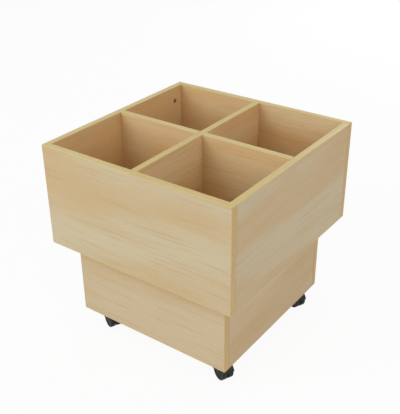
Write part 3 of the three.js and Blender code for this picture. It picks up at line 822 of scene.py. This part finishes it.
# Levels through the plate: the share of its thickness, and the share by which its outline is drawn in there
PLATE_LEVELS = np.array([(0, 0.012), (0.08, 0), (0.6, 0), (0.82, 0.006), (0.95, 0.018), (1, 0.036)])
SCREW_PITCH = 32 * MM
HEAD_RADIUS = 3.6 * MM
HEAD_DROP = 0.9 * MM  # from the plate to where the dome begins
HEAD_SIDE = 0.8 * MM
SCREW_CROSS = (4.2 * MM, 1.0 * MM, 1.1 * MM)  # length, width and depth
SCREW_AXES = [(0.94, 0.34, 0), (0.34, -0.94, 0), (0, 0, -1)]  # the cross turned a little, facing down
SCREW_FORM = {"dome": 1.1 * MM, "rings": 16, "sides": 48}


def plate_skin(place):
    """A square with eased corners at six heights: drawn in a little at the top and rolled at the foot."""
    outline = eased(PLATE_HALF * SQUARE, PLATE_CORNER, steps=9)
    down, drawn_in = PLATE_LEVELS.T
    outlines = np.empty((len(down), len(outline), 3))
    outlines[..., :2] = place[:2] + (1 - drawn_in)[:, None, None] * outline
    outlines[..., 2] = (PLATE_TOP - PLATE * down)[:, None]
    return skin(outlines)


def screw_skins(place):
    """Four domed heads at the corners of a square, each with its back just under the plate."""
    seat = PLATE_TOP - PLATE
    tops = [(*(place[:2] + spot), seat - HEAD_DROP) for spot in SCREW_PITCH / 2 * SQUARE]
    return [driven_disc(top, SCREW_AXES, HEAD_RADIUS, HEAD_SIDE, SCREW_CROSS, **SCREW_FORM) for top in tops]


for caster in casters:
    place = swivel_place(caster)
    piece(f"{caster}_mount", [plate_skin(place)], plated_steel, "bin", [f"{caster}_plate"])
    piece(f"{caster}_screws", screw_skins(place), plated_steel, "bin")
print("plates:", len(casters), "with four screws each")

# %% [markdown]
# ## Hoods
# The housing of a twin-wheel caster is one black moulding: a curved hood over both wheels, a web
# between them that holds the axle, and an upright boss that turns on the kingpin. The hood is a flat
# section carried round an arc about the axle, with two shallow grooves that hide sink marks. The web
# is an outline of two arcs about the axle, out to the hood above and a little inside the treads below.

# %% Set up each caster's own directions
AXLE_HEIGHT = 25 * MM
TRAIL = 20 * MM


def caster_axes(caster):
    """Unit vectors along the trail, along the axle and up, from the axle's direction in the joint list."""
    axle = np.array(joint_of[f"{caster}_wheel_1_spin"]["axis"], float)
    axle /= np.linalg.norm(axle)
    return np.array([np.cross(axle, (0, 0, 1)), axle, (0, 0, 1)])


def about_axle(radius, angle, width):
    """Points at a radius and an angle about the axle: trail + r cos t, width, axle height + r sin t."""
    along = TRAIL + radius * np.cos(angle)
    rise = AXLE_HEIGHT + radius * np.sin(angle)
    return np.stack([along, np.broadcast_to(width, along.shape), rise], -1)


print("trail of the first caster:", caster_axes(casters[0])[0].round(3))

# %% Draw the hood
HALF_WIDTH = 17.5 * MM
HOOD_INNER, HOOD_OUTER = 26.6 * MM, 29.2 * MM
HOOD_TILT = np.radians(15)
HOOD_EDGE = 0.9 * MM  # how far the outer line falls at both edges
EDGE_PLACE, EDGE_REACH = 0.94, 0.06  # shares of the half width where it begins to fall, and over which
EDGE_ROUND = 0.98  # of a quarter round
INNER_EDGE = 0.6  # of the outer line's fall, on the inner line
HOOD_GROOVE = 0.4 * MM
GROOVE_PLACE, GROOVE_REACH = 0.68, 0.03  # in shares of the half width
HOOD_ENDS = np.array([0, 0.004, 0.010])  # shares of the arc at which the section is drawn near its ends
HOOD_SHRINK = [0.55, 0.90]  # the section's size at the first two of them
HOOD_POINTS, HOOD_STEPS = 61, 49  # across the outer line, and along the arc between its ends
END_TAPER = 0.02  # share of the width that goes with the section's size


def hood_skin(place, axes):
    """The outer line lies HOOD_OUTER from the axle, less HOOD_GROOVE in two grooves, and falls off round
    both edges. The section is carried through half a turn, from HOOD_TILT, and shrinks to round both
    ends."""
    across = np.linspace(-1, 1, HOOD_POINTS)
    fall = smooth((abs(across) - EDGE_PLACE) / EDGE_REACH)
    edge = HOOD_EDGE * (1 - np.sqrt(1 - fall**2 * EDGE_ROUND))
    groove = HOOD_GROOVE * np.exp(-(((abs(across) - GROOVE_PLACE) / GROOVE_REACH) ** 2))
    outer = np.stack([across * HALF_WIDTH, HOOD_OUTER - edge - groove], -1)
    inner = np.stack([across[::-3] * HALF_WIDTH, HOOD_INNER + INNER_EDGE * edge[::-3]], -1)
    section = np.concatenate([outer, inner])
    share = np.concatenate([HOOD_ENDS, np.linspace(0.02, 0.98, HOOD_STEPS), 1 - HOOD_ENDS[::-1]])
    shrink = np.ones(len(share))
    shrink[:2] = HOOD_SHRINK
    shrink[-2:] = HOOD_SHRINK[::-1]
    middle = (HOOD_INNER + HOOD_OUTER) / 2
    radius = middle + shrink[:, None] * (section[:, 1] - middle)
    width = section[:, 0] * (1 - END_TAPER * (1 - shrink[:, None]))
    angle = HOOD_TILT + np.pi * share[:, None]
    return skin(place + about_axle(radius, angle, width) @ axes)


print("hood:", round(2 * HALF_WIDTH / MM), "mm wide")

# %% Draw the web and the boss
WEB_HALF = 2 * MM  # half the web's thickness
WEB_RADIUS = 21 * MM
WEB_EDGE = 0.4 * MM
WEB_OVERLAP = 0.4 * MM  # how far the web reaches into the hood
UPPER_STEPS, LOWER_STEPS = 41, 21  # points on its two arcs
BOSS_GAP = 0.5 * MM  # under the plate
BOSS_TOP = PLATE_TOP - PLATE - BOSS_GAP


def web_skin(place, axes):
    """An outline of two arcs about the axle, one over the wheels out to the hood and one of WEB_RADIUS
    below, at four places through the web's thickness; the outer two are drawn in to round the edges."""
    upper = HOOD_TILT + np.linspace(0, np.pi, UPPER_STEPS)
    lower = HOOD_TILT + np.linspace(np.pi, 2 * np.pi, LOWER_STEPS)
    angle = np.concatenate([upper, lower])
    radius = np.repeat([HOOD_INNER + WEB_OVERLAP, WEB_RADIUS], [UPPER_STEPS, LOWER_STEPS])
    depth = WEB_HALF * np.array([-1, -0.8, 0.8, 1])
    reach = radius - WEB_EDGE * np.array([1, 0, 0, 1])[:, None]
    return skin(place + about_axle(reach, angle, depth[:, None]) @ axes)


def turned_ring(place, radius, height, sides=48):
    """A closed outline of radius and height turned about an upright axis: x = r cos t, y = r sin t."""
    t = np.linspace(0, 2 * np.pi, sides, endpoint=False)
    flat = np.asarray(radius)[:, None, None] * np.stack([np.cos(t), np.sin(t)], -1)
    rise = np.broadcast_to(np.asarray(height)[:, None, None], (*flat.shape[:2], 1))
    return skin(place + np.concatenate([flat, rise], -1), joined=True)


boss_section = np.array([(4.6, -18), (8, -18), (8, 0), (4.6, 0)]) * MM  # radius, and height from the top
boss_cuts = np.array([0.3, 0.8, 0.8, 0.3]) * MM
boss_radius, boss_height = eased(boss_section, boss_cuts).T
print("boss: section of", len(boss_radius), "points")

# %% Mould the housings
for caster in casters:
    place, axes = swivel_place(caster), caster_axes(caster)
    boss = turned_ring(place, boss_radius, BOSS_TOP + boss_height)
    skins = [hood_skin(place, axes), web_skin(place, axes), boss]
    piece(f"{caster}_hood", skins, black_nylon, caster, [f"{caster}_housing"])
print("hoods:", len(casters), "each with its web and boss")

# %% [markdown]
# ## Wheels
# Each wheel is a solid nylon moulding with a nearly flat tread, round shoulders, a raised rim, a dished
# face and a small hub cap. Six ribs stiffen the dish. A wheel is a section turned about the axle. The
# ribs need a height that changes with the angle, so the grid of section points and angles is kept as
# one array, and the ribs are added to it before it is turned into place.

# %% Draw the wheel's section


def open_eased(corners, cut, steps=5):
    """An open outline with round corners: a closed one without its first and last corner's curves."""
    corners = np.asarray(corners, float) * MM
    inner = eased(corners, np.asarray(cut, float) * MM, steps)[steps:-steps]
    return np.concatenate([corners[:1], inner, corners[-1:]])


# Millimetres from the axle, and from the wheel's middle outwards: the bore, the tread, the face and the cap
wheel_corners = [
    (0.3, 4.5), (3.3, 4.5), (3.3, -7.5), (24.2, -7.5), (25, -6.5), (25, 5.7), (23.6, 7.5),
    (19.2, 7.5), (18.4, 5.9), (8.6, 5.9), (7.8, 7.5), (0.3, 7.5),
]
wheel_cuts = [0.1, 0.2, 0.3, 0.5, 0.5, 0.9, 0.7, 0.5, 0.6, 0.6, 0.5, 0.1]
wheel_line = open_eased(wheel_corners, wheel_cuts)
DISH_LEVEL = 5.9 * MM
DISH_POINTS = 16  # across the dish, so that the ribs can rise in it
in_dish = np.isclose(wheel_line[:, 1], DISH_LEVEL)
dish = int(np.flatnonzero(in_dish[:-1] & in_dish[1:])[0])  # the long step across the dish
fine_dish = np.linspace(wheel_line[dish], wheel_line[dish + 1], DISH_POINTS)[1:-1]
wheel_line = np.insert(wheel_line, dish + 1, fine_dish, axis=0)
print("wheel section:", len(wheel_line), "points")

# %% Turn the wheels
WHEEL_MIDDLE = 10.0 * MM  # from the caster's middle plane to the wheel's
WHEEL_STEPS = 120
RIBS = 6
RIB_HEIGHT = 1.0 * MM
RIB_INNER, RIB_OUTER, RIB_FADE = 9.2, 18.0, 1.2  # millimetres from the axle, and the length of each end
RIB_FROM, RIB_FLANK = 0.72, 0.18  # levels of cos(RIBS t) where a rib begins, and over which it rises


def wheel_skin(place, axes, side):
    """The section (radius r, width w) turned about the axle, side (middle + w) from the caster's middle
    plane. In the dish, w grows by up to RIB_HEIGHT where cos(RIBS t) is near 1."""
    radius, width = wheel_line.T
    t = np.linspace(0, 2 * np.pi, WHEEL_STEPS, endpoint=False)
    fade_in = smooth((radius / MM - RIB_INNER) / RIB_FADE)
    fade_out = smooth((RIB_OUTER - radius / MM) / RIB_FADE)
    raised = fade_in * fade_out * np.isclose(width, DISH_LEVEL)
    rib = smooth((np.cos(RIBS * t) - RIB_FROM) / RIB_FLANK)
    width = width[:, None] + RIB_HEIGHT * raised[:, None] * rib
    return skin(place + about_axle(radius[:, None], t, side * (WHEEL_MIDDLE + width)) @ axes)


for caster in casters:
    place, axes = swivel_place(caster), caster_axes(caster)
    for number in (1, 2):
        name = f"{caster}_wheel_{number}"
        low, high = map(np.array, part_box(name))
        side = np.sign(((low + high) / 2 - place) @ axes[1])
        wheel = wheel_skin(place, axes, side)
        piece(f"{name}_turned", [wheel], rubbed_tread, name, [name])
print("wheels: eight, with", len(wheel_line) * WHEEL_STEPS, "points each")
